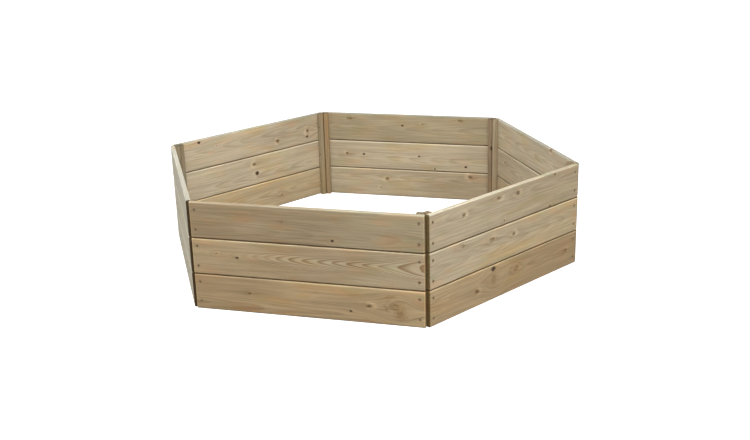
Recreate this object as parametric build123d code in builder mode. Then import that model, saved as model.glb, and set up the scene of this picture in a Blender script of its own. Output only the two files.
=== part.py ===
"""A hexagonal timber sandpit frame.

Six flat panels stand on edge in a hexagon. Each panel is three planed boards, laid one above
the other, screwed at both ends to an upright batten on the inside. The batten's outer edge is
sawn to the mitre plane of the corner, so that two neighbouring battens meet face to face, and
three long screws hold each pair together. The boards' ends are sawn square, so the outside of
every corner is an open V-shaped notch. The two battens of one corner stop a little below the rim;
all the others are as tall as the panel.

Frame: the origin is on the ground at the middle of the hexagon. +Z is up, the corners at the
left and right lie on the X axis, and the front panel faces -Y. All sizes are in millimetres.
"""

from build123d import *
import os
from math import radians, tan

# Driving dimensions: boards
BOARD_LENGTH = 600.0
BOARD_HEIGHT = 94.5
BOARD_THICKNESS = 12.0
BOARD_EDGE_RADIUS = 3.0
COURSES = ("bottom", "middle", "top")
COURSE_GAP = 1.5

# Driving dimensions: hexagon and battens
PANEL_FACING = {
    "front_panel": -90.0,
    "front_right_panel": -30.0,
    "back_right_panel": 30.0,
    "back_panel": 90.0,
    "back_left_panel": 150.0,
    "front_left_panel": 210.0,
}
CORNERS = (
    "front_left_corner",
    "front_right_corner",
    "right_corner",
    "back_right_corner",
    "back_left_corner",
    "left_corner",
)
CORNER_GAP = 0.5
BATTEN_WIDTH = 23.0
BATTEN_DEPTH = 15.0
BATTEN_EDGE_RADIUS = 1.0
SHORT_BATTEN_CORNER = "front_left_corner"
SHORT_BATTEN_BY = 6.0

# Driving dimensions: wood screws
THREAD_RADIUS = 2.0
CORE_RADIUS = 1.4
THREAD_PITCH = 1.8
HEAD_RADIUS = 3.75
HEAD_RIM = 0.3
TIP_LENGTH = 3.0
RECESS_SPAN = 4.2
RECESS_SLOT = 1.0
RECESS_DEPTH = 1.8
FIT_CLEARANCE = 0.03
BOARD_SCREW_LENGTH = 25.0
BOARD_SCREW_SUNK = 0.5
BOARD_SCREW_FROM_END = 13.0
BOARD_SCREW_FROM_EDGE = 21.0
CORNER_SCREW_LENGTH = 35.0
SPARE_HOLE_DEPTH = 0.5
SINK_ANGLE = 90

# Sizes that follow
PANELS = tuple(PANEL_FACING)
HALF_TURN = 180.0 / len(PANELS)
PANEL_HEIGHT = len(COURSES) * BOARD_HEIGHT + (len(COURSES) - 1) * COURSE_GAP
INNER_SIDE = BOARD_LENGTH + CORNER_GAP
INNER_APOTHEM = INNER_SIDE / 2 / tan(radians(HALF_TURN))
OUTER_APOTHEM = INNER_APOTHEM + BOARD_THICKNESS
MITRE_SETBACK = BATTEN_DEPTH * tan(radians(HALF_TURN))
SCREW_HOLE_RADIUS = THREAD_RADIUS + FIT_CLEARANCE
SINK_RADIUS = HEAD_RADIUS + HEAD_RIM + FIT_CLEARANCE
END_SCREW_X = BOARD_LENGTH / 2 - BOARD_SCREW_FROM_END
EDGE_SCREW_Y = BOARD_HEIGHT / 2 - BOARD_SCREW_FROM_EDGE
UP = Vector(0, 0, 1)


def outward(panel):
    """The unit vector square to a panel, pointing away from the hexagon."""
    return Vector(1, 0, 0).rotate(Axis.Z, PANEL_FACING[panel])


def along(panel):
    """The unit vector along a panel, from its left to its right as seen from outside."""
    return UP.cross(outward(panel))


def course_middle(course):
    """How high the middle of a course of boards is above the ground."""
    return COURSES.index(course) * (BOARD_HEIGHT + COURSE_GAP) + BOARD_HEIGHT / 2


def board_face(panel, course):
    """The plane on the middle of a board's outer face: X along the board, Y up."""
    middle = outward(panel) * OUTER_APOTHEM + UP * course_middle(course)
    return Plane(origin=middle, x_dir=along(panel), z_dir=outward(panel))


def inner_corner(panel, side):
    """Where a panel's inner face meets its neighbour's, at ground level. Side is -1 or 1."""
    return outward(panel) * INNER_APOTHEM + along(panel) * (side * INNER_SIDE / 2)


def batten_height(panel, side):
    """How tall a panel's batten is: full height, but a little short where one corner's two are."""
    corner = CORNERS[(PANELS.index(panel) + (side > 0)) % len(CORNERS)]
    return PANEL_HEIGHT - SHORT_BATTEN_BY * (corner == SHORT_BATTEN_CORNER)


def corner_screw_planes(panel):
    """Where the screws enter the side of a panel's left batten: Z points out of the wood."""
    side_face = inner_corner(panel, -1) + along(panel) * BATTEN_WIDTH
    middle = side_face - outward(panel) * (BATTEN_DEPTH / 2)
    heights = [UP * course_middle(course) for course in COURSES]
    return [Plane(origin=middle + h, x_dir=UP, z_dir=along(panel)) for h in heights]


def make_board(panel, course):
    """One board: long arrises rounded, four countersunk holes, one blind hole for a corner screw."""
    face = board_face(panel, course)
    neighbour = PANELS[(PANELS.index(panel) + 1) % len(PANELS)]
    corner_screw = corner_screw_planes(neighbour)[COURSES.index(course)]
    with BuildPart() as board:
        with BuildSketch(face):
            Rectangle(BOARD_LENGTH, BOARD_HEIGHT)
        extrude(amount=-BOARD_THICKNESS)
        long_edges = board.edges().filter_by(Axis(face.origin, face.x_dir))
        fillet(long_edges, BOARD_EDGE_RADIUS)
        with Locations(face):
            with GridLocations(2 * END_SCREW_X, 2 * EDGE_SCREW_Y, 2, 2):
                CounterSinkHole(
                    radius=SCREW_HOLE_RADIUS,
                    counter_sink_radius=SINK_RADIUS + BOARD_SCREW_SUNK,
                    depth=BOARD_THICKNESS,
                    counter_sink_angle=SINK_ANGLE,
                )
        with Locations(corner_screw):
            Hole(SCREW_HOLE_RADIUS, CORNER_SCREW_LENGTH + SPARE_HOLE_DEPTH)
    return board


def make_batten(panel, side):
    """One upright batten at a panel's left (-1) or right (1) end, with its pilot holes."""
    foot = Plane(inner_corner(panel, side), x_dir=along(panel) * -side, z_dir=UP * -side)
    neighbour = PANELS[(PANELS.index(panel) + 1) % len(PANELS)]
    with BuildPart() as batten:
        with BuildSketch(foot) as section:
            with BuildLine():
                Polyline(
                    (0, 0),
                    (BATTEN_WIDTH, 0),
                    (BATTEN_WIDTH, BATTEN_DEPTH),
                    (MITRE_SETBACK, BATTEN_DEPTH),
                    close=True,
                )
            make_face()
            planed_corners = section.vertices().group_by(Axis.X)[-1]
            fillet(planed_corners, BATTEN_EDGE_RADIUS)
        extrude(amount=batten_height(panel, side), dir=UP)
        for course in COURSES:
            with Locations(board_face(panel, course)):
                with Locations(
                    (side * END_SCREW_X, -EDGE_SCREW_Y),
                    (side * END_SCREW_X, EDGE_SCREW_Y),
                ):
                    Hole(SCREW_HOLE_RADIUS, BOARD_SCREW_LENGTH + BOARD_SCREW_SUNK + SPARE_HOLE_DEPTH)
        if side < 0:
            with Locations(*corner_screw_planes(panel)):
                CounterSinkHole(
                    radius=SCREW_HOLE_RADIUS,
                    counter_sink_radius=SINK_RADIUS,
                    depth=CORNER_SCREW_LENGTH,
                    counter_sink_angle=SINK_ANGLE,
                )
        else:
            with Locations(*corner_screw_planes(neighbour)):
                Hole(SCREW_HOLE_RADIUS, CORNER_SCREW_LENGTH)
    return batten


def screw_outline(length):
    """Half of a screw's section, from the middle of its head down to its tip, as (radius, z)."""
    head_depth = HEAD_RIM + HEAD_RADIUS - CORE_RADIUS
    outline = [(0, 0), (HEAD_RADIUS, 0), (HEAD_RADIUS, -HEAD_RIM), (CORE_RADIUS, -head_depth)]
    thread_length = length - head_depth - TIP_LENGTH
    turns = int(thread_length / THREAD_PITCH) - 1
    z = -(length - TIP_LENGTH - turns * THREAD_PITCH)
    for _ in range(turns):
        outline += [
            (CORE_RADIUS, z),
            (THREAD_RADIUS, z - 0.35 * THREAD_PITCH),
            (CORE_RADIUS, z - 0.7 * THREAD_PITCH),
        ]
        z -= THREAD_PITCH
    return outline + [(CORE_RADIUS, -(length - TIP_LENGTH)), (0, -length)]


def make_screw(length):
    """A countersunk wood screw with a cross recess. Its head's top is at the origin, pointing up."""
    with BuildPart() as screw:
        with BuildSketch(Plane.XZ):
            with BuildLine():
                Polyline(*screw_outline(length), close=True)
            make_face()
        revolve(axis=Axis.Z)
        with BuildSketch():
            Rectangle(RECESS_SPAN, RECESS_SLOT)
            Rectangle(RECESS_SLOT, RECESS_SPAN)
        extrude(amount=-RECESS_DEPTH, taper=10, mode=Mode.SUBTRACT)
    return screw


def make_panel_screws(panel, screw):
    """The screws that hold one panel's boards to its two battens, as separate solids."""
    with BuildPart() as screws:
        for course in COURSES:
            with Locations(board_face(panel, course).offset(-BOARD_SCREW_SUNK)):
                with GridLocations(2 * END_SCREW_X, 2 * EDGE_SCREW_Y, 2, 2):
                    add(screw.part)
    return screws


def make_corner_screws(panel, screw):
    """The screws that hold a panel's left batten to its neighbour, as separate solids."""
    with BuildPart() as screws:
        with Locations(*corner_screw_planes(panel)):
            add(screw.part)
    return screws


def save(piece, label):
    """Writes one finished piece to its own STEP file."""
    piece.part.label = label
    export_step(piece.part, f"parts/{label}.step")


os.makedirs("parts", exist_ok=True)
board_screw = make_screw(BOARD_SCREW_LENGTH)
corner_screw = make_screw(CORNER_SCREW_LENGTH)
for panel, corner in zip(PANELS, CORNERS):
    for course in COURSES:
        save(make_board(panel, course), f"{panel}_{course}_board")
    save(make_batten(panel, -1), f"{panel}_left_batten")
    save(make_batten(panel, 1), f"{panel}_right_batten")
    save(make_panel_screws(panel, board_screw), f"{panel}_screws")
    save(make_corner_screws(panel, corner_screw), f"{corner}_screws")
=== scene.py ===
"""The looks of a hexagonal timber sandpit: planed softwood boards, mitred battens, wood screws.

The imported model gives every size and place. Boards and battens are modelled again with eased
arrises, sawn ends and countersunk screw holes, and are dressed in solid softwood: growth rings
about a pith line that each board is cut from, knots that the grain flows round, dark thirsty
end grain and the soft green and pink stain of pressure treatment. The screws keep their shape.
"""

import functools
import logging
import math
from collections.abc import Callable
from dataclasses import dataclass
from enum import Enum

import bpy
from mathutils import Matrix, Vector


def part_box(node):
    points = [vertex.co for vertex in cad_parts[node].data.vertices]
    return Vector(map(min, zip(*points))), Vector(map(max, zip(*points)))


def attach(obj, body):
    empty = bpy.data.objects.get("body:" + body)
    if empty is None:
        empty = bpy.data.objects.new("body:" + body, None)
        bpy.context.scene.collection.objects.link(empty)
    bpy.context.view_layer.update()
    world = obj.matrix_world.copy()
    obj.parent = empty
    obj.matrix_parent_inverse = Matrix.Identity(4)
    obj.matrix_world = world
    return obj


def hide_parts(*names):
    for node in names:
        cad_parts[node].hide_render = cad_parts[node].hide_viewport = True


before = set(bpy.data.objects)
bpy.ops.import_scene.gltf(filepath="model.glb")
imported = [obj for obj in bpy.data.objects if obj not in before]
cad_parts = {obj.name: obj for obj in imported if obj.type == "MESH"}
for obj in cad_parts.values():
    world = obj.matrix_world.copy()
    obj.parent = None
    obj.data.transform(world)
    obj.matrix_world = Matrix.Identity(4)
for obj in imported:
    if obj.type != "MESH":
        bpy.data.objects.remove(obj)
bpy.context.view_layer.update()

Triple = tuple[float, float, float]
Colour = Triple
Span = tuple[float, float]
Socket = bpy.types.NodeSocket
Outputs = bpy.types.NodeOutputs
Piece = bpy.types.Object
Value = Socket | float | Triple

log = logging.getLogger("sandpit")

MM = 0.001
PANEL_FACING = {
    "front_panel": -90.0,
    "front_right_panel": -30.0,
    "back_right_panel": 30.0,
    "back_panel": 90.0,
    "back_left_panel": 150.0,
    "front_left_panel": 210.0,
}
MITRE = math.radians(30.0)
ALONG_X, ALONG_Y, UP = Vector((1, 0, 0)), Vector((0, 1, 0)), Vector((0, 0, 1))


class Course(Enum):
    """The three boards of a panel, from the ground up."""

    BOTTOM = "bottom"
    MIDDLE = "middle"
    TOP = "top"


class Side(Enum):
    """The two ends of a panel, as seen from outside."""

    LEFT = -1
    RIGHT = 1


class KnotKind(Enum):
    """How strongly a knot shows its solid core, its dark heart, its brown stain, its rings of
    bark and the pale wood beside it."""

    SWIRL = (0.00, 0.20, 0.10, 0.90, 0.45)
    BROWN = (0.12, 0.74, 0.45, 0.60, 0.90)
    DARK = (1.00, 1.00, 0.15, 0.15, 0.20)
    STAIN = (0.00, 0.00, 0.55, 0.10, 0.00)
    BURIED = (0.00, 0.00, 0.00, 0.00, 0.00)


# -- Shader graphs -----------------------------------------------------


@dataclass
class Graph:
    """Adds nodes to one node tree and joins their sockets."""

    tree: bpy.types.NodeTree
    column: float = 0.0
    column_step: float = 40.0

    def add(
        self, kind: str, inputs: dict[str | int, Value] | None = None, **settings: object
    ) -> bpy.types.Node:
        """Adds one node.

        Args:
            kind: the node's type name.
            inputs: a constant or a socket to join, by input name or number.
            settings: attributes to set on the node.

        Returns:
            The new node.
        """
        node = self.tree.nodes.new(kind)
        node.location = (self.column, 0.0)
        self.column += self.column_step
        for name, value in settings.items():
            setattr(node, name, value)
        for key, value in (inputs or {}).items():
            self.join(value, node.inputs[key])
        return node

    def join(self, value: Value, target: Socket) -> None:
        """Links a socket to an input, or sets the input's constant."""
        if isinstance(value, Socket):
            self.tree.links.new(value, target)
        elif isinstance(value, tuple) and len(value) == 3 and target.type == "RGBA":
            target.default_value = (*value, 1.0)
        else:
            target.default_value = value

    def math(self, operation: str, *values: Value, clamp: bool = False) -> Socket:
        """One Math node; the values go to its inputs in order. Returns its result."""
        inputs = dict(enumerate(values))
        return self.add("ShaderNodeMath", inputs, operation=operation, use_clamp=clamp).outputs[0]

    def product(self, *values: Value) -> Socket:
        """Multiplies two or more values. Returns the product."""
        return functools.reduce(functools.partial(self.math, "MULTIPLY"), values)

    def total(self, *values: Value) -> Socket:
        """Adds two or more values up. Returns the sum."""
        return functools.reduce(functools.partial(self.math, "ADD"), values)

    def highest(self, *values: Value) -> Socket:
        """The highest of two or more values."""
        return functools.reduce(functools.partial(self.math, "MAXIMUM"), values)

    def scale_and_add(self, value: Value, factor: Value, more: Value) -> Socket:
        """The value times a factor, and more."""
        return self.math("MULTIPLY_ADD", value, factor, more)

    def hypotenuse(self, first: Value, second: Value) -> Socket:
        """The length of the long side of a right-angled triangle."""
        squares = [self.product(side, side) for side in (first, second)]
        return self.math("SQRT", self.total(*squares))

    def vector(self, operation: str, *values: Value) -> Socket:
        """One Vector Math node; the values go to its inputs in order. Returns its vector."""
        inputs = dict(enumerate(values))
        return self.add("ShaderNodeVectorMath", inputs, operation=operation).outputs["Vector"]

    def even(self, value: Value) -> Socket:
        """A vector with the same value for X, Y and Z."""
        return self.add("ShaderNodeCombineXYZ", {0: value, 1: value, 2: value}).outputs[0]

    def split(self, value: Socket) -> tuple[Socket, Socket, Socket]:
        """A vector's X, Y and Z."""
        return tuple(self.add("ShaderNodeSeparateXYZ", {0: value}).outputs)

    def blend(self, factor: Value, first: Value, second: Value, how: str = "MIX") -> Socket:
        """Mixes two colours. Returns the mixed colour."""
        settings = {"data_type": "RGBA", "blend_type": how, "clamp_factor": True}
        return self.add("ShaderNodeMix", {0: factor, 6: first, 7: second}, **settings).outputs[2]

    def tint(self, amount: Value, colour: Socket, by: Value) -> Socket:
        """Multiplies a colour by another, where the amount is one and partly where it is less."""
        return self.blend(amount, colour, by, "MULTIPLY")

    def fade(self, value: Value, span: Span, start: Value = 0.0, end: Value = 1.0) -> Socket:
        """A smooth step: start below the span, end above it."""
        low, high = span
        inputs = {"Value": value, "From Min": low, "From Max": high, "To Min": start, "To Max": end}
        node = self.add("ShaderNodeMapRange", inputs, interpolation_type="SMOOTHSTEP")
        return node.outputs["Result"]

    def within(self, value: Value, span: Span) -> Socket:
        """A smooth mask: one below the span, none above it."""
        return self.fade(value, span, 1.0, 0.0)

    def noise(
        self,
        place: Value,
        scale: Triple,
        detail: float = 2.0,
        roughness: float = 0.5,
        shift: Value | None = None,
    ) -> Outputs:
        """Smooth noise.

        Args:
            place: where it is read, in metres.
            scale: how many features fit in a metre along each axis.
            detail: how many finer layers it has.
            roughness: how strong the finer layers are.
            shift: what is added to the scaled place, so that pieces differ.

        Returns:
            Its value and its colour.
        """
        spot = self.vector("MULTIPLY", place, scale)
        if shift is not None:
            spot = self.vector("ADD", spot, shift)
        inputs = {"Vector": spot, "Scale": 1.0, "Detail": detail, "Roughness": roughness}
        return self.add("ShaderNodeTexNoise", inputs).outputs


@dataclass(frozen=True)
class Figure:
    """Noise drawn out along the grain, by how many features fit in a metre each way."""

    along: float
    across: float
    detail: float = 3.0
    roughness: float = 0.5

    def draw(self, graph: Graph, place: Value, shift: Value) -> Socket:
        """Adds the noise to a graph. Returns its value."""
        scale = (self.along, self.across, self.across)
        return graph.noise(place, scale, self.detail, self.roughness, shift)[0]


class Effect:
    """A shader node group with named inputs and outputs, built once. What it takes is listed with
    the value it starts from: a number, a colour, or None for a vector."""

    name: str = ""
    takes: dict[str, float | Colour | None] = {}
    gives: dict[str, str] = {}

    def __init__(self) -> None:
        """Makes the group, its sockets and its nodes."""
        self.tree = bpy.data.node_groups.new(self.name, "ShaderNodeTree")
        sockets = self.tree.interface
        kinds = {type(None): "Vector", tuple: "Color", float: "Float"}
        for name, start in self.takes.items():
            kind = f"NodeSocket{kinds[type(start)]}"
            socket = sockets.new_socket(name, in_out="INPUT", socket_type=kind)
            if start is not None:
                socket.default_value = (*start, 1.0) if isinstance(start, tuple) else start
        for name, kind in self.gives.items():
            sockets.new_socket(name, in_out="OUTPUT", socket_type=f"NodeSocket{kind}")
        graph = Graph(self.tree)
        given = graph.add("NodeGroupInput").outputs
        graph.add("NodeGroupOutput", self.build(graph, given))

    def build(self, graph: Graph, given: Outputs) -> dict[str, Socket]:
        """Adds the effect's nodes. Each effect has its own.

        Args:
            graph: the group's graph.
            given: the group's inputs.

        Returns:
            The socket for each output.
        """
        raise NotImplementedError

    def use(self, graph: Graph, **values: Value) -> dict[str, Socket]:
        """Places the group in a graph.

        Args:
            graph: the graph to place it in.
            values: constants or sockets, by input name with _ for a space.

        Returns:
            The group node's outputs, by name.
        """
        inputs = {name.replace("_", " "): value for name, value in values.items()}
        node = graph.add("ShaderNodeGroup", inputs, node_tree=self.tree)
        return {name: node.outputs[name] for name in self.gives}


class KnotEffect(Effect):
    """One knot: a dark core, broken rings of bark, a stain drawn out along the grain, pale wood
    beside it, and grain bent round it. Distances are in knot radii."""

    name = "knot"
    takes = {
        "Place": None, "Centre": None, "Radius": 0.004, "Stretch": 1.3, "Lean": 0.3, "Solid": 0.2,
        "Heart": 0.6, "Stain": 0.6, "Bark": 0.6, "Pale": 0.6, "Core": 0.0, "Halo": 0.0, "Glow": 0.0,
    }
    gives = {"Place": "Vector", "Core": "Float", "Halo": "Float", "Glow": "Float"}

    RAGGED: Triple = (170.0, 260.0, 60.0)
    DRAWN: Triple = (28.0, 150.0, 60.0)
    UNEVENNESS = 1.1
    SOLID: Span = (0.60, 0.95)
    HEART: Span = (0.25, 0.70)
    STAIN: Span = (0.30, 1.60)
    RIPPLES_PER_RADIUS = 5.0
    RIPPLES: Span = (1.0, 2.4)
    BROKEN_LONG: Span = (0.42, 0.60)
    BROKEN_SHORT, SHORT_SHARE = (0.50, 0.62), (0.15, 0.9)
    PALE_STARTS: Span = (0.8, 1.2)
    PALE_ENDS: Span = (1.5, 2.6)
    PALE_SIDE, PALE_SHARE = (-1.6, 1.2), (0.25, 1.0)
    SWELL_ALONG, SWELL_ACROSS = 0.24, 0.42
    BEND = -0.85
    TAIL, TAIL_STRENGTH = (0.35, 0.65), (0.05, 0.60)
    TAIL_SHARE = 0.5

    def build(self, graph: Graph, given: Outputs) -> dict[str, Socket]:
        """Adds the knot to those that came before it, and bends the place round it."""
        place, radius = given["Place"], given["Radius"]
        x, y, z = graph.split(graph.vector("SUBTRACT", place, given["Centre"]))
        x = graph.math("SUBTRACT", x, graph.product(z, given["Lean"]))
        across = graph.math("DIVIDE", y, radius)
        along = graph.math("DIVIDE", x, graph.product(radius, given["Stretch"]))
        ragged = graph.noise(place, self.RAGGED, 3.0)[0]
        drawn = graph.noise(place, self.DRAWN)[0]
        uneven = graph.math("SUBTRACT", ragged, 0.5)
        rough = graph.scale_and_add(uneven, self.UNEVENNESS, graph.hypotenuse(across, along))

        solid = graph.product(graph.within(rough, self.SOLID), given["Solid"])
        heart = graph.product(graph.within(rough, self.HEART), given["Heart"])
        blob = graph.product(graph.within(rough, self.STAIN), given["Stain"])
        wave = graph.math("COSINE", graph.product(rough, self.RIPPLES_PER_RADIUS))
        wave = graph.scale_and_add(wave, -0.5, 0.5)
        wave = graph.product(wave, graph.within(rough, self.RIPPLES))
        long_parts = graph.fade(drawn, self.BROKEN_LONG)
        short_parts = graph.fade(ragged, self.BROKEN_SHORT, *self.SHORT_SHARE)
        ring = graph.product(wave, graph.highest(long_parts, short_parts), given["Bark"])
        starts, ends = graph.fade(rough, self.PALE_STARTS), graph.fade(rough, self.PALE_ENDS)
        side = graph.fade(along, self.PALE_SIDE, *self.PALE_SHARE)
        beside = graph.product(graph.math("SUBTRACT", starts, ends), side)

        far_along = graph.math("POWER", graph.product(along, self.SWELL_ALONG), 2.0)
        far_across = graph.math("POWER", graph.product(across, self.SWELL_ACROSS), 2.0)
        swell = graph.math("EXPONENT", graph.product(graph.total(far_along, far_across), -1.0))
        shift = graph.add("ShaderNodeCombineXYZ", {1: graph.product(y, swell, self.BEND)})
        tail = graph.product(swell, graph.fade(drawn, self.TAIL, *self.TAIL_STRENGTH))
        tail = graph.product(tail, graph.total(given["Stain"], given["Bark"]), self.TAIL_SHARE)
        stain = graph.math("ADD", graph.highest(blob, ring), tail, clamp=True)
        return {
            "Place": graph.vector("ADD", place, shift.outputs[0]),
            "Core": graph.highest(given["Core"], solid, heart),
            "Halo": graph.highest(given["Halo"], stain),
            "Glow": graph.highest(given["Glow"], graph.product(beside, given["Pale"])),
        }


class RingEffect(Effect):
    """Growth rings about a pith line that runs along the board, some way behind its face."""

    name = "growth_rings"
    takes = {
        "Place": None, "Seed": 0.0, "Pith Height": 0.0, "Pith Depth": 0.04, "Tilt": 0.0, "Bow": 0.0,
        "Ring Width": 0.0022, "Wander": 0.004,
    }
    gives = {"Latewood": "Float", "Year": "Float"}

    SWAY: Triple = (5.0, 16.0, 16.0)
    SUMMER: Span = (0.30, 0.85)
    AUTUMN: Span = (0.93, 1.0)

    def build(self, graph: Graph, given: Outputs) -> dict[str, Socket]:
        """Cuts the rings at the place and shades each from pale early to dark late wood."""
        sway = graph.noise(given["Place"], self.SWAY, shift=graph.even(given["Seed"]))
        centred = graph.vector("SUBTRACT", sway["Color"], (0.5, 0.5, 0.5))
        swayed = graph.vector("MULTIPLY", centred, graph.even(given["Wander"]))
        x, y, z = graph.split(graph.vector("ADD", given["Place"], swayed))
        drift = graph.product(x, graph.scale_and_add(x, given["Bow"], given["Tilt"]))
        height = graph.math("SUBTRACT", y, given["Pith Height"])
        depth = graph.total(z, given["Pith Depth"], drift)
        years = graph.math("DIVIDE", graph.hypotenuse(height, depth), given["Ring Width"])
        season = graph.math("FRACT", years)
        late = graph.product(graph.fade(season, self.SUMMER), graph.within(season, self.AUTUMN))
        number = {"W": graph.math("FLOOR", years)}
        year = graph.add("ShaderNodeTexWhiteNoise", number, noise_dimensions="1D")
        return {"Latewood": late, "Year": year.outputs["Value"]}


class WoodEffect(Effect):
    """Planed, pressure-treated softwood: rings, fibres, stains, knots and end grain together."""

    name = "treated_softwood"
    takes = {
        "Place": None, "Straight Place": None, "Seed": 0.0, "Left Tone": (0.4, 0.3, 0.2),
        "Right Tone": (0.4, 0.3, 0.2), "Latewood": 0.0, "Year": 0.0, "Core": 0.0, "Halo": 0.0,
        "Glow": 0.0, "End": 0.0, "Border": 0.0, "Rim": 0.0, "Painted Highlight": 0.0, "Joint": 0.0,
        "End Tint": (0.3, 0.2, 0.1), "Border Tint": (0.8, 0.7, 0.6), "Rim Tint": (1.0, 1.0, 1.0),
        "Ring Contrast": 0.3, "Blush": 0.4, "Algae": 0.4, "Half Length": 0.3, "Calm End": 1.0,
    }
    gives = {"Colour": "Color", "Roughness": "Float", "Height": "Float"}

    BROAD = Figure(4.0, 22.0, 2.0)
    PATCH = Figure(10.0, 30.0)
    STAIN = Figure(8.0, 26.0, roughness=0.6)
    STREAK = Figure(6.0, 190.0, roughness=0.6)
    FIBRE = Figure(40.0, 1500.0, 2.0, 0.6)

    BLUSH: Colour = (1.08, 0.93, 0.83)
    ALGAE: Colour = (0.86, 0.94, 0.80)
    LATE: Colour = (0.54, 0.41, 0.29)
    HALO: Colour = (0.58, 0.46, 0.31)
    GLOW: Colour = (1.33, 1.35, 1.37)
    CORE: Colour = (0.055, 0.029, 0.012)
    # Painted highlight: the upper arris of each board lightened and cooled as if lit from above.
    PAINTED_HIGHLIGHT: Colour = (1.42, 1.50, 1.60)
    # Painted shade in the gaps between boards and beside the battens' mitres.
    JOINT_SHADE: Colour = (0.42, 0.33, 0.19)

    TONES_MEET: Span = (0.15, 0.85)
    BLUSH_SHOWS: Span = (0.47, 0.68)
    ALGAE_SHOWS: Span = (0.48, 0.70)
    CALM_UNTIL: Span = (-0.16, -0.05)
    STREAK_SPREAD, STREAK_LIFT = (0.25, 0.78), (0.82, 1.15)
    FIBRE_SPREAD, FIBRE_LIFT = (0.25, 0.75), (0.93, 1.07)
    BROAD_SPREAD, BROAD_LIFT = (0.30, 0.72), (0.94, 1.06)
    # Patches where the painted highlight on the arris is stronger or weaker.
    WEAR_SPREAD, WEAR_SHARE = (0.30, 0.70), (0.6, 1.0)
    BROAD_MOVES_TONES, YEARS_DIFFER = 0.8, 0.45
    MATTE, SHINE_OF_LATE, DRY_END, FIBRE_ROUGHNESS = 0.70, -0.12, 0.18, 0.12
    FIBRE_RELIEF, STREAK_RELIEF, LATE_RELIEF, CORE_RELIEF = 0.35, 0.30, 0.35, -0.5

    def build(self, graph: Graph, given: Outputs) -> dict[str, Socket]:
        """Lays the tones down in the order that the wood has them."""
        figures = (self.BROAD, self.PATCH, self.STAIN, self.STREAK, self.FIBRE)
        seed = graph.even(given["Seed"])
        broad, patch, stain, streak, fibre = (f.draw(graph, given["Place"], seed) for f in figures)
        x = graph.split(given["Straight Place"])[0]

        share = graph.math("DIVIDE", x, graph.product(given["Half Length"], 2.0))
        moved = graph.product(graph.math("SUBTRACT", broad, 0.5), self.BROAD_MOVES_TONES)
        share = graph.total(share, 0.5, moved)
        meet = graph.fade(share, self.TONES_MEET)
        colour = graph.blend(meet, given["Left Tone"], given["Right Tone"])
        blush = graph.product(graph.fade(patch, self.BLUSH_SHOWS), given["Blush"])
        colour = graph.tint(blush, colour, self.BLUSH)
        algae = graph.product(graph.fade(stain, self.ALGAE_SHOWS), given["Algae"])
        colour = graph.tint(algae, colour, self.ALGAE)

        strength = graph.scale_and_add(given["Year"], self.YEARS_DIFFER, 1.0 - self.YEARS_DIFFER)
        strength = graph.product(given["Ring Contrast"], strength)
        calm = graph.fade(x, self.CALM_UNTIL, given["Calm End"], 1.0)
        late = graph.product(given["Latewood"], strength, calm)
        colour = graph.tint(late, colour, self.LATE)
        lift = graph.product(
            graph.fade(streak, self.STREAK_SPREAD, *self.STREAK_LIFT),
            graph.fade(fibre, self.FIBRE_SPREAD, *self.FIBRE_LIFT),
            graph.fade(broad, self.BROAD_SPREAD, *self.BROAD_LIFT),
        )
        lifted = graph.add("ShaderNodeCombineColor", {0: lift, 1: lift, 2: lift}).outputs[0]
        colour = graph.tint(1.0, colour, lifted)

        colour = graph.tint(given["Glow"], colour, self.GLOW)
        colour = graph.tint(given["Halo"], colour, self.HALO)
        colour = graph.blend(given["Core"], colour, self.CORE)
        # Painted highlight on the upper arrises, stronger in some patches than in others.
        patchiness = graph.fade(patch, self.WEAR_SPREAD, *self.WEAR_SHARE)
        colour = graph.tint(graph.product(given["Painted Highlight"], patchiness), colour, self.PAINTED_HIGHLIGHT)
        # Painted shade that dims and cools the lit top edge of a top board.
        colour = graph.tint(given["Rim"], colour, given["Rim Tint"])
        # Painted shade in the gaps between boards and beside the mitres.
        colour = graph.tint(given["Joint"], colour, self.JOINT_SHADE)
        # Along the sawn ends: soaked-in treatment with painted shade, and on the front boards a
        # painted highlight instead.
        colour = graph.tint(given["Border"], colour, given["Border Tint"])
        # The end grain's own colour; on the front boards it is lightened as a painted highlight.
        colour = graph.tint(given["End"], colour, given["End Tint"])

        rough = graph.scale_and_add(late, self.SHINE_OF_LATE, self.MATTE)
        rough = graph.scale_and_add(given["End"], self.DRY_END, rough)
        rough = graph.scale_and_add(graph.math("SUBTRACT", fibre, 0.5), self.FIBRE_ROUGHNESS, rough)
        height = graph.product(streak, self.STREAK_RELIEF)
        height = graph.scale_and_add(fibre, self.FIBRE_RELIEF, height)
        height = graph.scale_and_add(late, self.LATE_RELIEF, height)
        height = graph.scale_and_add(given["Core"], self.CORE_RELIEF, height)
        return {"Colour": colour, "Roughness": rough, "Height": height}


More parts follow.
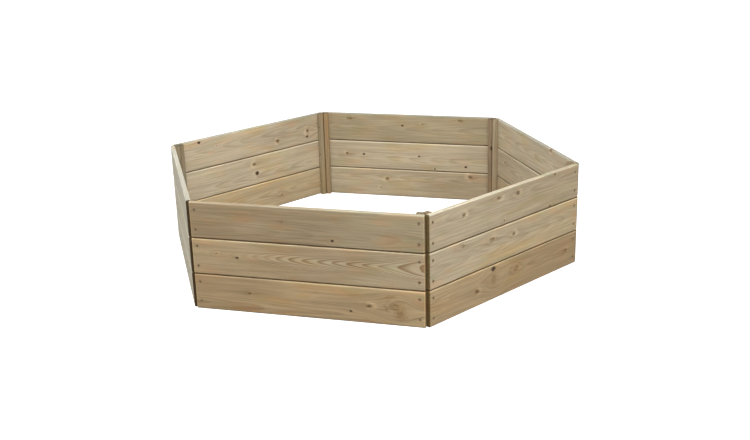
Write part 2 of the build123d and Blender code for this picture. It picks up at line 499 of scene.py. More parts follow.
class EndEffect(Effect):
    """Masks for the parts of a straight piece of timber that differ from its faces."""

    name = "sawn_ends_and_edges"
    takes = {
        "Place": None, "Half Size": None, "Border": 0.003, "Arris": 0.003, "Arrises Show": 1.0,
        "Rim": 1.0, "Mitre": None, "Mitre Reach": 1.0,
    }
    gives = {"End": "Float", "Border": "Float", "Rim": "Float", "Painted Highlight": "Float", "Joint": "Float"}

    # Besides the sawn ends, these masks place a painted highlight on the upper arris and painted
    # shade on the lower arris, on a top hidden in a joint and beside a mitre.
    RAGGED: Triple = (30.0, 700.0, 700.0)
    TOP: Span = (0.0, 0.3)
    LIT: Span = (0.7, 1.6)
    # Painted shade along the lower arris, in arris widths.
    SHADED_BELOW: Span = (0.35, 1.1)
    END_BAND: Span = (0.6, 2.0)
    SAWN: Span = (0.15 * MM, 0.6 * MM)
    # How far the painted shade reaches in from a mitred face.
    MITRE_SHADE: Span = (0.8 * MM, 2.4 * MM)

    def build(self, graph: Graph, given: Outputs) -> dict[str, Socket]:
        """Measures how far the place is inside each pair of faces, and inside the mitre."""
        place, shows = given["Place"], given["Arrises Show"]
        gap = graph.vector("SUBTRACT", given["Half Size"], graph.vector("ABSOLUTE", place))
        from_end, from_edge, _ = graph.split(gap)
        ragged = graph.noise(place, self.RAGGED)[0]
        # The band along the sawn ends that takes the soaked-in treatment and painted shade, and on
        # the front boards a painted highlight instead.
        end_band = graph.math("DIVIDE", from_end, graph.product(given["Border"], ragged))

        upper = graph.math("GREATER_THAN", graph.split(place)[1], 0.0)
        lower = graph.math("SUBTRACT", 1.0, upper)
        share = graph.math("DIVIDE", from_edge, given["Arris"])
        # The painted highlight band on the upper arris, below the top face.
        top = graph.product(graph.within(share, self.TOP), upper)
        lit = graph.product(graph.within(share, self.LIT), upper)
        highlight_band = graph.math("SUBTRACT", lit, top, clamp=True)
        # Painted shade on the lower arris, and on a top face hidden in a joint.
        shade_below = graph.product(graph.within(share, self.SHADED_BELOW), lower)
        hidden = graph.product(top, graph.math("SUBTRACT", 1.0, given["Rim"]))

        # Painted shade beside the mitred face, where two battens meet.
        towards = graph.add(
            "ShaderNodeVectorMath", {0: place, 1: given["Mitre"]}, operation="DOT_PRODUCT")
        inside = graph.math("SUBTRACT", given["Mitre Reach"], towards.outputs["Value"])
        corner = graph.within(inside, self.MITRE_SHADE)
        return {
            "End": graph.within(from_end, self.SAWN),
            "Border": graph.within(end_band, self.END_BAND),
            "Rim": graph.product(lit, given["Rim"], shows),
            "Painted Highlight": graph.product(highlight_band, shows),
            "Joint": graph.highest(graph.product(graph.highest(shade_below, hidden), shows), corner),
        }


class Workshop:
    """The node groups that the finishes share."""

    def __init__(self) -> None:
        """Builds each group once."""
        self.knot = KnotEffect()
        self.rings = RingEffect()
        self.wood = WoodEffect()
        self.ends = EndEffect()


def new_material(name: str) -> tuple[bpy.types.Material, Graph]:
    """An empty material and the graph to fill it with."""
    material = bpy.data.materials.new(name)
    material.use_nodes = True
    material.node_tree.nodes.clear()
    return material, Graph(material.node_tree)


# -- Finishes ----------------------------------------------------------

DARK_END: Colour = (0.40, 0.35, 0.20)
PITCH_END: Colour = (0.16, 0.120, 0.065)
# End grain for the front boards, lightened as a painted highlight where the light from the right
# catches their ends.
PALE_END_AND_HIGHLIGHT: Colour = (0.74, 0.70, 0.60)
GREY_END: Colour = (0.54, 0.56, 0.54)
# A darker band along the sawn ends: the treatment soaked in there, and painted shade along the end
# arris.
SOAKED_AND_SHADED_BORDER: Colour = (0.84, 0.80, 0.70)
# Painted highlight along the front boards' sawn ends.
END_BORDER_HIGHLIGHT: Colour = (1.40, 1.40, 1.36)
# Painted shade that dims and cools the lit top edge of the top boards; the back boards get more of
# it.
RIM_PAINTED_SHADE: Colour = (0.96, 1.03, 1.12)
BACK_RIM_PAINTED_SHADE: Colour = (0.64, 0.72, 0.82)
BUMP_STRENGTH, BUMP_HEIGHT = 0.35, 0.6 * MM


@dataclass(frozen=True)
class Edges:
    """Which edges of a piece of timber look different from its faces.

    Arrises says whether the long arrises get a painted highlight above and painted shade below,
    and rim whether the upper edge is in the open, where its lit top takes the painted rim shade,
    and not hidden in a joint, where its top gets painted joint shade. Mitre is the direction from
    the middle of the piece to its mitred face, and reach the distance to that face, in metres; the
    wood beside that face gets painted shade.
    """

    arrises: bool = True
    rim: bool = True
    mitre: Triple = (0.0, 0.0, 0.0)
    reach: float = 1.0


@dataclass(frozen=True)
class Knot:
    """Where a branch grew: its place on the board's face, in metres from the board's middle."""

    x: float
    y: float
    radius: float = 0.004
    kind: KnotKind = KnotKind.BROWN
    stretch: float = 1.4
    lean: float = 0.4

    @property
    def settings(self) -> dict[str, Value]:
        """The inputs that tell the knot effect about this knot."""
        strengths = dict(zip(("Solid", "Heart", "Stain", "Bark", "Pale"), self.kind.value))
        shape = {"Radius": self.radius, "Stretch": self.stretch, "Lean": self.lean}
        return {"Centre": (self.x, self.y, 0.0), **shape, **strengths}


@dataclass(frozen=True)
class Softwood:
    """One length of treated softwood and how it was cut from the log.

    Pith height and depth place the middle of the log behind the face; tilt and bow are how that
    depth changes along the piece, which draws the grain's arches. The calm end is the share of
    the rings' contrast that is left at the left end.
    """

    seed: float
    left_tone: Colour
    right_tone: Colour
    knots: tuple[Knot, ...] = ()
    pith_height: float = 0.0
    pith_depth: float = 0.05
    tilt: float = 0.03
    bow: float = 0.0
    ring_width: float = 0.0024
    wander: float = 0.005
    ring_contrast: float = 0.35
    calm_end: float = 1.0
    blush: float = 0.7
    algae: float = 0.7
    # The end grain's own colour, lightened on the front boards as a painted highlight.
    end_tint: Colour = DARK_END
    # Along the sawn ends: soaked-in treatment with painted shade, and on the front boards a painted
    # highlight instead.
    border_tint: Colour = SOAKED_AND_SHADED_BORDER
    # Painted shade that dims and cools the lit top edge of a top board.
    rim_tint: Colour = RIM_PAINTED_SHADE

    def named(self, *names: str) -> dict[str, Value]:
        """These of its values, each by the name of the shader input that it goes to."""
        return {name.title(): getattr(self, name) for name in names}

    def material(
        self, name: str, shop: Workshop, place: Matrix, size: Vector, edges: Edges
    ) -> bpy.types.Material:
        """Makes the material for one piece.

        Args:
            name: the material's name.
            shop: the shared node groups.
            place: the piece's own space to the row's frame: X along the grain, Z out of its face.
            size: the piece's length, width and thickness in that space.
            edges: which of its edges look different from its faces.

        Returns:
            The material.
        """
        material, graph = new_material(name)
        to_piece = place.inverted()
        spot = graph.add("ShaderNodeTexCoord").outputs["Object"]
        mapped = graph.add("ShaderNodeMapping", {"Vector": spot}, vector_type="POINT")
        mapped.inputs["Location"].default_value = to_piece.to_translation()
        mapped.inputs["Rotation"].default_value = to_piece.to_euler("XYZ")
        straight = mapped.outputs[0]

        grown: dict[str, Value] = {"Place": straight, "Core": 0.0, "Halo": 0.0, "Glow": 0.0}
        for knot in self.knots:
            grown = shop.knot.use(graph, **grown, **knot.settings)
        cut = self.named(
            "seed", "pith_height", "pith_depth", "tilt", "bow", "ring_width", "wander")
        rings = shop.rings.use(graph, Place=grown["Place"], **cut)
        ends = shop.ends.use(
            graph,
            Place=graph.vector("ADD", straight, (0.0, 0.0, size.z / 2)),
            Half_Size=tuple(size / 2),
            Arrises_Show=float(edges.arrises),
            Rim=float(edges.rim),
            Mitre=edges.mitre,
            Mitre_Reach=edges.reach,
        )
        tones = self.named(
            "seed", "left_tone", "right_tone", "end_tint", "border_tint", "rim_tint",
            "ring_contrast", "blush", "algae", "calm_end")
        places = {"Straight_Place": straight, "Half_Length": size.x / 2}
        wood = shop.wood.use(graph, **grown, **rings, **ends, **tones, **places)
        relief = {"Height": wood["Height"], "Strength": BUMP_STRENGTH, "Distance": BUMP_HEIGHT}
        shader = graph.add("ShaderNodeBsdfPrincipled", {
            "Base Color": wood["Colour"],
            "Roughness": wood["Roughness"],
            "Normal": graph.add("ShaderNodeBump", relief).outputs[0],
            "Specular IOR Level": 0.4,
            "Sheen Weight": 0.05,
            "Sheen Roughness": 0.5,
        })
        graph.add("ShaderNodeOutputMaterial", {"Surface": shader.outputs[0]})
        return material


@dataclass(frozen=True)
class ScrewSteel:
    """Brown passivated steel, blotched with duller grime."""

    colour: Colour = (0.20, 0.135, 0.075)
    rubbed: Colour = (0.31, 0.225, 0.130)
    blotches: Triple = (900.0, 900.0, 900.0)
    blotch_spread: Span = (0.35, 0.7)
    rough: float = 0.6
    shine_where_rubbed: float = -0.15

    def material(self) -> bpy.types.Material:
        """Makes the material."""
        material, graph = new_material("screw_steel")
        spot = graph.add("ShaderNodeTexCoord").outputs["Object"]
        blotch = graph.noise(spot, self.blotches, 3.0, 0.6)[0]
        patchiness = graph.fade(blotch, self.blotch_spread)
        shader = graph.add("ShaderNodeBsdfPrincipled", {
            "Base Color": graph.blend(patchiness, self.colour, self.rubbed),
            "Metallic": 0.30,
            "Roughness": graph.scale_and_add(patchiness, self.shine_where_rubbed, self.rough),
        })
        graph.add("ShaderNodeOutputMaterial", {"Surface": shader.outputs[0]})
        return material


# -- The lengths of timber, each with its own tones, cut and knots -----

UMBER: Colour = (0.310, 0.230, 0.135)
RUSSET: Colour = (0.355, 0.255, 0.140)
OLIVE: Colour = (0.350, 0.285, 0.180)
TAN: Colour = (0.390, 0.290, 0.170)
AMBER: Colour = (0.430, 0.318, 0.180)
STRAW: Colour = (0.400, 0.320, 0.210)
HONEY: Colour = (0.462, 0.366, 0.225)
OAT: Colour = (0.435, 0.355, 0.235)
WHEAT: Colour = (0.455, 0.378, 0.262)
CREAM: Colour = (0.520, 0.440, 0.315)
BLEACHED: Colour = (0.470, 0.415, 0.315)
CHESTNUT: Colour = (0.250, 0.180, 0.110)
DRAB: Colour = (0.290, 0.245, 0.165)
DARK, MID, SWIRL = KnotKind.DARK, KnotKind.BROWN, KnotKind.SWIRL
STAIN, BURIED = KnotKind.STAIN, KnotKind.BURIED

TIMBER: dict[str, Softwood] = {
    "front_panel_top": Softwood(
        1.3, UMBER, OLIVE, (Knot(0.072, -0.031, 0.0042, DARK), Knot(-0.055, 0.010, 0.003, SWIRL)),
        pith_height=-0.02, pith_depth=0.055, tilt=0.02, ring_contrast=0.30, blush=1.0,
        algae=0.45, end_tint=PALE_END_AND_HIGHLIGHT, border_tint=END_BORDER_HIGHLIGHT),
    "front_panel_middle": Softwood(
        2.1, TAN, OAT,
        (Knot(-0.180, 0.003, 0.0038, DARK), Knot(-0.235, 0.012, 0.003, SWIRL),
         Knot(0.300, 0.008, 0.016, BURIED)),
        pith_height=0.009, pith_depth=0.020, tilt=-0.060, bow=0.040, ring_width=0.0021,
        wander=0.0022, ring_contrast=1.0, calm_end=0.15,
        end_tint=PALE_END_AND_HIGHLIGHT, border_tint=END_BORDER_HIGHLIGHT),
    "front_panel_bottom": Softwood(
        3.7, RUSSET, AMBER,
        (Knot(0.113, -0.019, 0.0036, DARK), Knot(0.160, -0.001, 0.005, MID, 2.0),
         Knot(0.224, 0.002, 0.010, SWIRL, 1.3), Knot(0.237, -0.006, 0.008, SWIRL, 1.0),
         Knot(0.240, -0.012, 0.015, STAIN, 1.1), Knot(0.214, 0.008, 0.009, STAIN, 1.8),
         Knot(-0.152, 0.006, 0.004, SWIRL)),
        pith_height=-0.03, pith_depth=0.04, tilt=0.015, ring_contrast=0.40, blush=0.9,
        end_tint=PALE_END_AND_HIGHLIGHT, border_tint=END_BORDER_HIGHLIGHT),
    "front_right_panel_top": Softwood(
        4.9, WHEAT, STRAW,
        (Knot(-0.176, 0.017, 0.006, MID), Knot(-0.042, 0.029, 0.005, MID, 2.4),
         Knot(0.035, 0.025, 0.007, MID), Knot(-0.019, -0.035, 0.004, MID, 0.8),
         Knot(0.193, 0.041, 0.004, MID), Knot(0.175, -0.043, 0.004, MID)),
        pith_height=0.02, pith_depth=0.05, tilt=-0.02, ring_contrast=0.30, blush=0.4, algae=0.9),
    "front_right_panel_middle": Softwood(
        5.2, WHEAT, HONEY,
        (Knot(0.021, 0.015, 0.006, MID), Knot(-0.179, 0.034, 0.005, SWIRL),
         Knot(-0.068, 0.020, 0.008, SWIRL)),
        pith_height=0.0, pith_depth=0.06, tilt=0.03, ring_contrast=0.30, blush=0.9),
    "front_right_panel_bottom": Softwood(
        6.4, AMBER, RUSSET,
        (Knot(-0.061, 0.037, 0.008, DARK), Knot(-0.058, 0.010, 0.018, STAIN, 0.6),
         Knot(-0.125, -0.005, 0.006, MID, 1.6),
         Knot(0.032, 0.012, 0.009, SWIRL), Knot(0.251, 0.002, 0.006, SWIRL)),
        pith_height=0.01, pith_depth=0.045, tilt=-0.025, ring_contrast=0.35, blush=0.7),
    "back_right_panel_top": Softwood(
        7.1, WHEAT, WHEAT, (Knot(-0.135, 0.044, 0.006, MID), Knot(-0.261, 0.034, 0.005, MID)),
        pith_depth=0.07, rim_tint=BACK_RIM_PAINTED_SHADE),
    "back_right_panel_middle": Softwood(
        8.8, WHEAT, STRAW, (Knot(0.218, 0.015, 0.005, MID),), pith_depth=0.05),
    "back_right_panel_bottom": Softwood(
        9.5, STRAW, TAN, (Knot(-0.05, 0.01, 0.005, MID),), pith_height=0.03),
    "back_panel_top": Softwood(
        10.2, OLIVE, OLIVE,
        (Knot(0.021, 0.011, 0.004, DARK), Knot(-0.048, 0.019, 0.004, SWIRL),
         Knot(0.208, 0.031, 0.006, SWIRL, 2.0), Knot(-0.178, 0.034, 0.004, SWIRL, 2.5)),
        pith_depth=0.06, ring_contrast=0.30, rim_tint=BACK_RIM_PAINTED_SHADE),
    "back_panel_middle": Softwood(
        11.6, WHEAT, WHEAT,
        (Knot(0.160, 0.002, 0.004, DARK), Knot(0.219, 0.003, 0.005, MID),
         Knot(-0.035, 0.003, 0.004, DARK), Knot(-0.196, -0.028, 0.004, DARK),
         Knot(-0.090, -0.040, 0.003, DARK)),
        pith_height=-0.01, pith_depth=0.06, ring_contrast=0.30),
    "back_panel_bottom": Softwood(
        12.7, STRAW, WHEAT,
        (Knot(0.078, 0.014, 0.007, MID, 1.2), Knot(0.100, -0.018, 0.005, SWIRL),
         Knot(-0.212, 0.034, 0.007, MID)),
        pith_height=0.02, pith_depth=0.05, ring_contrast=0.30),
    "back_left_panel_top": Softwood(
        13.4, WHEAT, CREAM,
        (Knot(0.217, 0.038, 0.0055, DARK, 1.2), Knot(-0.226, -0.004, 0.008, MID, 1.0),
         Knot(-0.223, -0.019, 0.006, DARK, 1.1), Knot(-0.226, -0.011, 0.010, STAIN, 0.9),
         Knot(-0.094, -0.015, 0.007, MID, 1.0), Knot(0.153, 0.016, 0.002, MID)),
        pith_height=0.01, pith_depth=0.06, blush=0.9, rim_tint=BACK_RIM_PAINTED_SHADE),
    "back_left_panel_middle": Softwood(
        14.8, WHEAT, CREAM,
        (Knot(-0.001, -0.011, 0.008, DARK, 1.1), Knot(0.009, 0.020, 0.007, MID, 1.1)),
        pith_height=-0.02, pith_depth=0.05),
    "back_left_panel_bottom": Softwood(
        15.9, HONEY, HONEY, (Knot(-0.10, -0.01, 0.005, SWIRL),), blush=0.9),
    "front_left_panel_top": Softwood(
        16.3, BLEACHED, BLEACHED, (Knot(0.10, 0.01, 0.005, MID),),
        pith_depth=0.06, end_tint=PITCH_END),
    "front_left_panel_middle": Softwood(
        17.5, BLEACHED, BLEACHED, (Knot(-0.12, -0.02, 0.005, DARK),),
        pith_depth=0.05, end_tint=PITCH_END),
    "front_left_panel_bottom": Softwood(
        18.2, BLEACHED, BLEACHED, (Knot(0.20, 0.02, 0.006, MID),),
        pith_depth=0.07, end_tint=PITCH_END),
}


def batten_timber(seed: float, tone: Colour, knots: tuple[Knot, ...] = ()) -> Softwood:
    """Narrow straight-grained stock for a batten, cut well away from the pith."""
    return Softwood(seed, tone, tone, knots, pith_height=0.03, pith_depth=0.03, tilt=0.01,
                    ring_width=0.0020, ring_contrast=0.45, wander=0.003, end_tint=GREY_END)


BATTEN_TONES = (TAN, OLIVE, TAN, TAN, TAN, STRAW, CHESTNUT, RUSSET, OLIVE, DRAB, DRAB, TAN)
BATTEN_KNOTS = {("back_panel", Side.LEFT): (Knot(0.05, 0.0, 0.005, DARK, 2.0),)}
FIRST_BATTEN_SEED = 21.0


def cut_batten_timber() -> dict[tuple[str, Side], Softwood]:
    """Two lengths for each panel, for its left end and its right."""
    places = [(panel, side) for panel in PANEL_FACING for side in Side]
    return {
        place: batten_timber(FIRST_BATTEN_SEED + number, tone, BATTEN_KNOTS.get(place, ()))
        for number, (place, tone) in enumerate(zip(places, BATTEN_TONES))
    }


BATTEN_TIMBER = cut_batten_timber()


# -- Modelling helpers -------------------------------------------------

MERGE_DISTANCE = 0.01 * MM
SMOOTH_ANGLE = math.radians(35.0)
EASED_PROFILE = 0.5
HOLE_SIDES = 24
TOLERANCE = 0.1 * MM


def clear_selection() -> None:
    """Leaves nothing selected, so that an operator acts only on what is made next."""
    bpy.ops.object.select_all(action="DESELECT")


def take_up(piece: Piece) -> None:
    """Selects one piece alone and makes it active."""
    clear_selection()
    piece.select_set(True)
    bpy.context.view_layer.objects.active = piece


def work(operation: Callable[..., set[str]], **settings: object) -> None:
    """Runs one edit-mode operator on the active piece's selection."""
    bpy.ops.object.mode_set(mode="EDIT")
    operation(**settings)
    bpy.ops.object.mode_set(mode="OBJECT")


def work_all(operation: Callable[..., set[str]], **settings: object) -> None:
    """Runs one edit-mode operator on the whole of the active piece."""
    work(bpy.ops.mesh.select_all, action="SELECT")
    work(operation, **settings)


def edit(piece: Piece, mode: str = "EDGE") -> None:
    """Readies one piece alone for edit mode, with none of its parts selected."""
    take_up(piece)
    work(bpy.ops.mesh.select_mode, type=mode)
    work(bpy.ops.mesh.select_all, action="DESELECT")


def add_block(name: str, size: Vector, centre: Vector) -> Piece:
    """A block of wood at its size and place, with its place in its mesh."""
    clear_selection()
    bpy.ops.mesh.primitive_cube_add(size=1.0, location=centre, scale=size)
    block = bpy.context.active_object
    block.name = name
    block.data.name = name
    bpy.ops.object.transform_apply(location=True, rotation=True, scale=True)
    return block


def ease_edges(
    piece: Piece,
    chosen: Callable[[Vector, Vector], bool],
    width: float,
    segments: int,
) -> None:
    """Rounds some edges of a piece.

    Args:
        piece: the piece.
        chosen: whether to round the edge with these two ends.
        width: how far the rounding reaches from the edge, in metres.
        segments: how many faces it has.
    """
    edit(piece)
    for edge in piece.data.edges:
        edge.select = chosen(*(piece.data.vertices[i].co for i in edge.vertices))
    work(bpy.ops.mesh.bevel, offset=width, segments=segments, profile=EASED_PROFILE)


def slice_across(piece: Piece, axis: Vector, places: list[float]) -> None:
    """Cuts new edge loops square to an axis, at these places along it."""
    edit(piece)
    for place in places:
        work_all(bpy.ops.mesh.bisect, plane_co=axis * place, plane_no=axis)


def saw_off(piece: Piece, through: Vector, facing: Vector) -> None:
    """Saws a piece at a plane, drops what is in front of it and closes the cut."""
    edit(piece)
    work_all(
        bpy.ops.mesh.bisect, plane_co=through, plane_no=facing, use_fill=True, clear_outer=True)


def modify(piece: Piece, kind: str, **settings: object) -> None:
    """Gives one piece a modifier with these settings and applies it at once."""
    take_up(piece)
    modifier = piece.modifiers.new(kind.lower(), kind)
    for name, value in settings.items():
        setattr(modifier, name, value)
    bpy.ops.object.modifier_apply(modifier=modifier.name)


def cut_away(piece: Piece, cutter: Piece) -> None:
    """Cuts one piece by another and removes the cutter."""
    modify(piece, "BOOLEAN", operation="DIFFERENCE", solver="EXACT", object=cutter)
    bpy.data.objects.remove(cutter)


@dataclass(frozen=True)
class Countersink:
    """A screw hole with a cone at its mouth, as wide at the surface as the screw's head."""

    sink_radius: float
    hole_radius: float = 2.03 * MM

    def cut(
        self, piece: Piece, mouth: Vector, depth: float, turned: Triple = (0, 0, 0)
    ) -> None:
        """Cuts the hole.

        Args:
            piece: what it is cut in.
            mouth: the middle of its mouth.
            depth: the length of the drill, half of it before the mouth and half behind.
            turned: the drill's turn from upright, in radians.
        """
        clear_selection()
        bpy.ops.mesh.primitive_cone_add(
            vertices=HOLE_SIDES, radius1=0.0, radius2=2 * self.sink_radius,
            depth=2 * self.sink_radius, location=mouth, rotation=turned)
        cut_away(piece, bpy.context.active_object)
        bpy.ops.mesh.primitive_cylinder_add(
            vertices=HOLE_SIDES, radius=self.hole_radius, depth=depth, location=mouth,
            rotation=turned)
        cut_away(piece, bpy.context.active_object)


def finish_mesh(piece: Piece) -> None:
    """Merges stray doubles, points the faces outwards and smooths the eased edges."""
    edit(piece, "VERT")
    work_all(bpy.ops.mesh.remove_doubles, threshold=MERGE_DISTANCE)
    work_all(bpy.ops.mesh.normals_make_consistent, inside=False)
    work(bpy.ops.mesh.select_all, action="DESELECT")
    take_up(piece)
    bpy.ops.object.shade_smooth_by_angle(angle=SMOOTH_ANGLE)


def copy_of(pattern: Piece, name: str) -> Piece:
    """A copy of a finished pattern with its own mesh."""
    piece = pattern.copy()
    piece.data = pattern.data.copy()
    piece.name = name
    piece.data.name = name
    bpy.context.scene.collection.objects.link(piece)
    return piece


def axes(x: Vector, y: Vector, z: Vector, origin: Vector) -> Matrix:
    """The matrix with these axes and origin."""
    return Matrix.Translation(origin) @ Matrix((x, y, z)).transposed().to_4x4()


def set_in_scene(name: str, data: bpy.types.ID, place: Vector, turned: Matrix) -> Piece:
    """Adds a camera or a lamp, which looks along its own -Z."""
    item = bpy.data.objects.new(name, data)
    bpy.context.scene.collection.objects.link(item)
    item.matrix_world = Matrix.Translation(place) @ turned.to_4x4()
    return item


def dress(piece: Piece, material: bpy.types.Material) -> None:
    """Gives a piece its one material."""
    piece.data.materials.clear()
    piece.data.materials.append(material)


def hand_over(piece: Piece, node: str) -> None:
    """Puts a finished piece in the place of its CAD node."""
    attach(piece, "root")
    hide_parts(node)


# -- The sandpit's pieces ----------------------------------------------


@dataclass
class Board:
    """One planed board, modelled about the middle of its outer face: X along it, Y up, Z out."""

    length: float
    height: float
    thickness: float
    arris: float = 3.0 * MM
    arris_segments: int = 4
    screw_from_end: float = 13.0 * MM
    screw_from_edge: float = 21.0 * MM
    screw_hole: Countersink = Countersink(4.6 * MM)
    drill_thicknesses: float = 3.0
    columns: int = 20
    rows: tuple[float, ...] = (-0.40, -0.16, 0, 0.16, 0.40)
    most_twist: float = math.radians(0.25)
    twist_pace: float = 7.0
    most_crook: float = 0.35 * MM
    crook_pace: float = 5.0

    @property
    def size(self) -> Vector:
        """Length, height and thickness."""
        return Vector((self.length, self.height, self.thickness))

    def pattern(self) -> Piece:
        """Models the board that all the others are copied from."""

        def runs_along(first: Vector, second: Vector) -> bool:
            """Whether an edge is one of the four long arrises."""
            return abs(first.x - second.x) > self.length / 2

        board = add_block("board_pattern", self.size, Vector((0, 0, -self.thickness / 2)))
        ease_edges(board, runs_along, self.arris, self.arris_segments)
        inner = self.length / 2 - 2 * self.screw_from_end
        step = 2 * inner / self.columns
        slice_across(board, ALONG_X, [-inner + step * i for i in range(self.columns + 1)])
        slice_across(board, ALONG_Y, [self.height * share for share in self.rows])
        x, y = self.length / 2 - self.screw_from_end, self.height / 2 - self.screw_from_edge
        for mouth in ((-x, -y, 0), (-x, y, 0), (x, -y, 0), (x, y, 0)):
            self.screw_hole.cut(board, Vector(mouth), self.drill_thicknesses * self.thickness)
        finish_mesh(board)
        return board

    def settle(self, board: Piece, seed: float) -> None:
        """Gives a copy of the pattern the slight twist and crook that its timber dried to."""
        twist = self.most_twist * math.sin(seed * self.twist_pace)
        modify(board, "SIMPLE_DEFORM", deform_method="TWIST", deform_axis="X", angle=twist)
        crook = self.most_crook * math.cos(seed * self.crook_pace)
        for vertex in board.data.vertices:
            share = 2 * vertex.co.x / self.length
            vertex.co.z -= crook * (1 - share * share)


@dataclass
class Batten:
    """One upright batten, modelled about its foot at the inner corner: X inwards along the panel,
    Y away from the boards into the sandpit, Z up. Its edge at the corner is sawn to the mitre."""

    width: float
    depth: float
    height: float
    ease: float = 1.0 * MM
    ease_segments: int = 3
    mitre_ease: float = 0.7 * MM
    mitre_segments: int = 2
    screw_hole: Countersink = Countersink(4.1 * MM)
    drill_widths: float = 3.0
    storeys: int = 12

    def pattern(self) -> Piece:
        """Models the batten that all the others are copied from."""

        def upright(first: Vector, second: Vector) -> bool:
            """Whether an edge runs from the foot to the top."""
            return abs(first.z - second.z) > self.height / 2

        def far_side(first: Vector, second: Vector) -> bool:
            """Whether an upright edge is away from the corner."""
            return upright(first, second) and first.x > self.width / 2

        def mitre_arris(first: Vector, second: Vector) -> bool:
            """Whether an upright edge is the mitre's inner one."""
            near = first.x < self.width / 2 and first.y > self.depth / 2
            return upright(first, second) and near

        size = Vector((self.width, self.depth, self.height))
        batten = add_block("batten_pattern", size, size / 2)
        saw_off(batten, Vector((0, 0, 0)), Vector((-math.cos(MITRE), math.sin(MITRE), 0)))
        ease_edges(batten, far_side, self.ease, self.ease_segments)
        ease_edges(batten, mitre_arris, self.mitre_ease, self.mitre_segments)
        levels = [self.height * i / self.storeys for i in range(1, self.storeys)]
        slice_across(batten, UP, levels)
        finish_mesh(batten)
        return batten

    def sink_corner_screws(self, batten: Piece, levels: list[float]) -> None:
        """Cuts the countersunk holes for the screws that go through to the next batten."""
        for level in levels:
            mouth = Vector((self.width, self.depth / 2, level))
            drill = self.drill_widths * self.width
            self.screw_hole.cut(batten, mouth, drill, (0, math.radians(90.0), 0))
        finish_mesh(batten)

    def cut_to_length(self, batten: Piece, height: float) -> None:
        """Saws off the top of a batten that is shorter than the pattern."""
        if height < self.height - TOLERANCE:
            saw_off(batten, UP * height, UP)
            finish_mesh(batten)

    def edges(self, side: Side) -> Edges:
        """Where the mitred face stands in the grain's frame, which has Y from right to left."""
        # The wood beside the mitred face gets painted shade; a batten's arrises get no painted
        # highlight or shade.
        across, back = -side.value * math.cos(MITRE), math.sin(MITRE)
        reach = math.cos(MITRE) * self.width / 2 - math.sin(MITRE) * self.depth / 2
        return Edges(arrises=False, mitre=(0.0, across, -back), reach=reach)

    @staticmethod
    def mirrored(pattern: Piece) -> Piece:
        """The batten for the other end of a panel: the same stick, sawn to the opposite mitre."""
        other = copy_of(pattern, "right_batten_pattern")
        other.data.transform(Matrix.Scale(-1, 4, ALONG_X))
        finish_mesh(other)
        return other


@dataclass
class Panel:
    """One side of the hexagon: three boards on two battens."""

    name: str
    facing: float
    board: Board
    batten: Batten
    shop: Workshop
    gap: float
    apothem: float

    @property
    def outward(self) -> Vector:
        """The direction that the panel faces."""
        angle = math.radians(self.facing)
        return Vector((math.cos(angle), math.sin(angle), 0))

    @property
    def along(self) -> Vector:
        """The direction from the panel's left to its right, seen from outside."""
        return UP.cross(self.outward)

    def board_place(self, course: Course) -> Matrix:
        """From a board's own space to the row's frame."""
        step = self.board.height + self.gap
        level = list(Course).index(course) * step + self.board.height / 2
        middle = self.outward * (self.apothem + self.board.thickness) + UP * level
        return axes(self.along, UP, self.outward, middle)

    def build_boards(self, pattern: Piece) -> None:
        """Copies, settles, dresses and places the panel's three boards."""
        for course in Course:
            node = f"{self.name}_{course.value}_board"
            timber = TIMBER[f"{self.name}_{course.value}"]
            piece = copy_of(pattern, f"{node}_timber")
            self.board.settle(piece, timber.seed)
            place = self.board_place(course)
            piece.data.transform(place)
            # Only top boards take the painted shade on their lit top edge; in the others the top is
            # hidden in a joint and gets painted joint shade.
            edges = Edges(rim=course is Course.TOP)
            dress(piece, timber.material(node, self.shop, place, self.board.size, edges))
            hand_over(piece, node)
            log.info("%s: in place, with %d knots", node, len(timber.knots))

    def build_battens(self, patterns: dict[Side, Piece]) -> None:
        """Copies, dresses and places the panel's two battens."""
        half = self.apothem * math.tan(MITRE)
        for side, pattern in patterns.items():
            node = f"{self.name}_{side.name.lower()}_batten"
            timber = BATTEN_TIMBER[self.name, side]
            piece = copy_of(pattern, f"{node}_timber")
            low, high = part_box(node)
            height = high.z - low.z
            self.batten.cut_to_length(piece, height)
            foot = self.outward * self.apothem + self.along * (side.value * half)
            piece.data.transform(axes(self.along, -self.outward, UP, foot))
            middle = foot - self.along * (side.value * self.batten.width / 2) + UP * (height / 2)
            grain = axes(UP, -self.along, self.outward, middle)
            size = Vector((height, self.batten.width, self.batten.depth))
            edges = self.batten.edges(side)
            dress(piece, timber.material(node, self.shop, grain, size, edges))
            hand_over(piece, node)
            log.info("%s: in place", node)


@dataclass(frozen=True)
class Lamp:
    """One square soft box that faces the sandpit."""

    name: str
    place: Triple
    size: float
    power: float
    colour: Colour
    aim: Triple = (0.0, 0.0, 0.1)

    def hang(self) -> None:
        """Adds the lamp to the scene."""
        data = bpy.data.lights.new(self.name, "AREA")
        data.shape = "SQUARE"
        data.size = self.size
        data.energy = self.power
        data.color = self.colour
        place = Vector(self.place)
        turned = (Vector(self.aim) - place).to_track_quat("-Z", "Y").to_matrix()
        set_in_scene(self.name, data, place, turned)


LAMPS = (
    Lamp("overhead", (0.2, -1.2, 2.6), 3.0, 122.0, (1.0, 0.985, 0.95)),
    Lamp("right", (3.2, -0.8, 1.6), 1.8, 34.0, (1.0, 0.99, 0.96)),
    Lamp("left", (-3.2, -1.2, 1.4), 1.8, 37.0, (0.86, 0.95, 1.0)),
    Lamp("behind", (-0.6, 3.4, 0.9), 1.8, 36.0, (1.0, 0.99, 0.97)),
)


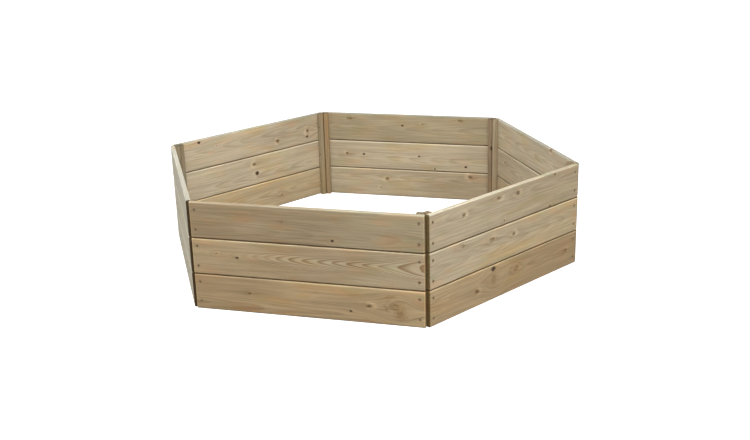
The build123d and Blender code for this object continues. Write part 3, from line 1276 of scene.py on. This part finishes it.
@dataclass
class Studio:
    """A white floor, soft boxes on every side and a long lens that looks in over the rim.

    The angles are in degrees: azimuth round from the front, elevation above the floor.
    """

    azimuth: float = 16.05
    elevation: float = 18.24
    roll: float = -1.58
    distance: float = 2.966
    target: Triple = (0.0279, 0.0, 0.0862)
    lens: float = 48.36
    sensor: float = 36.0
    floor_size: float = 200.0
    floor_drop: float = 0.2 * MM
    floor_colour: Colour = (0.40, 0.395, 0.38)
    floor_glow: float = 0.93
    white: Colour = (1.0, 1.0, 1.0)
    room_light: float = 0.35

    def place_camera(self) -> None:
        """Adds the camera and makes it the scene's own."""
        azimuth, elevation = math.radians(self.azimuth), math.radians(self.elevation)
        back = Vector((
            math.sin(azimuth) * math.cos(elevation),
            -math.cos(azimuth) * math.cos(elevation),
            math.sin(elevation),
        ))
        data = bpy.data.cameras.new("camera")
        data.lens = self.lens
        data.sensor_width = self.sensor
        rolled = Matrix.Rotation(math.radians(self.roll), 3, "Z")
        turned = back.to_track_quat("Z", "Y").to_matrix() @ rolled
        spot = Vector(self.target) + back * self.distance
        bpy.context.scene.camera = set_in_scene("camera", data, spot, turned)

    def lay_floor(self) -> None:
        """Adds the floor, which looks white and gives back soft light."""
        clear_selection()
        bpy.ops.mesh.primitive_plane_add(size=self.floor_size, location=(0, 0, -self.floor_drop))
        floor = bpy.context.active_object
        floor.name = "floor"
        bpy.ops.object.transform_apply(location=True, rotation=True, scale=True)
        material, graph = new_material("white_floor")
        seen = graph.add("ShaderNodeLightPath").outputs["Is Camera Ray"]
        strength = graph.product(seen, self.floor_glow)
        paint = graph.add("ShaderNodeBsdfDiffuse", {"Color": self.floor_colour})
        glow = graph.add("ShaderNodeEmission", {"Color": self.white, "Strength": strength})
        both = graph.add("ShaderNodeAddShader", {0: paint.outputs[0], 1: glow.outputs[0]})
        graph.add("ShaderNodeOutputMaterial", {"Surface": both.outputs[0]})
        floor.data.materials.append(material)

    def fill_with_light(self) -> None:
        """Adds the lamps and the even light of the white room."""
        world = bpy.data.worlds.new("white_room")
        world.use_nodes = True
        room = world.node_tree.nodes["Background"]
        room.inputs["Color"].default_value = (*self.white, 1.0)
        room.inputs["Strength"].default_value = self.room_light
        bpy.context.scene.world = world
        for lamp in LAMPS:
            lamp.hang()

    def set_up(self) -> None:
        """Builds the whole studio."""
        self.place_camera()
        self.lay_floor()
        self.fill_with_light()
        bpy.context.scene.view_settings.view_transform = "Standard"


def measure_frame() -> tuple[Board, Batten, float, float]:
    """Reads the pieces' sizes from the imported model.

    Returns:
        The board, the batten, the gap between courses and the distance from the middle of the
        sandpit to a panel's inner face.
    """
    low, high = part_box("back_panel_bottom_board")
    above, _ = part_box("back_panel_middle_board")
    batten_low, batten_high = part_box("back_panel_left_batten")
    size, stick = high - low, batten_high - batten_low
    board = Board(size.x, size.z, size.y)
    batten = Batten(stick.x, stick.y, stick.z)
    return board, batten, above.z - high.z, low.y


def dress_screws(finish: ScrewSteel) -> None:
    """Gives every screw its steel; the CAD screws keep their shape."""
    steel = finish.material()
    for name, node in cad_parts.items():
        if name.endswith("_screws"):
            for slot in node.material_slots:
                slot.material = steel
            log.info("%s: dressed", name)


def main() -> None:
    """Builds the studio and the sandpit's pieces in order."""
    logging.basicConfig(level=logging.INFO, format="%(name)s: %(message)s")
    Studio().set_up()
    shop = Workshop()
    board, batten, gap, apothem = measure_frame()
    board_pattern = board.pattern()
    left = batten.pattern()
    right = batten.mirrored(left)
    levels = [board.height / 2 + i * (board.height + gap) for i in range(len(Course))]
    batten.sink_corner_screws(left, levels)
    for name, facing in PANEL_FACING.items():
        panel = Panel(name, facing, board, batten, shop, gap, apothem)
        panel.build_boards(board_pattern)
        panel.build_battens({Side.LEFT: left, Side.RIGHT: right})
    for pattern in (board_pattern, left, right):
        bpy.data.objects.remove(pattern)
    dress_screws(ScrewSteel())


if __name__ == "__main__":
    main()
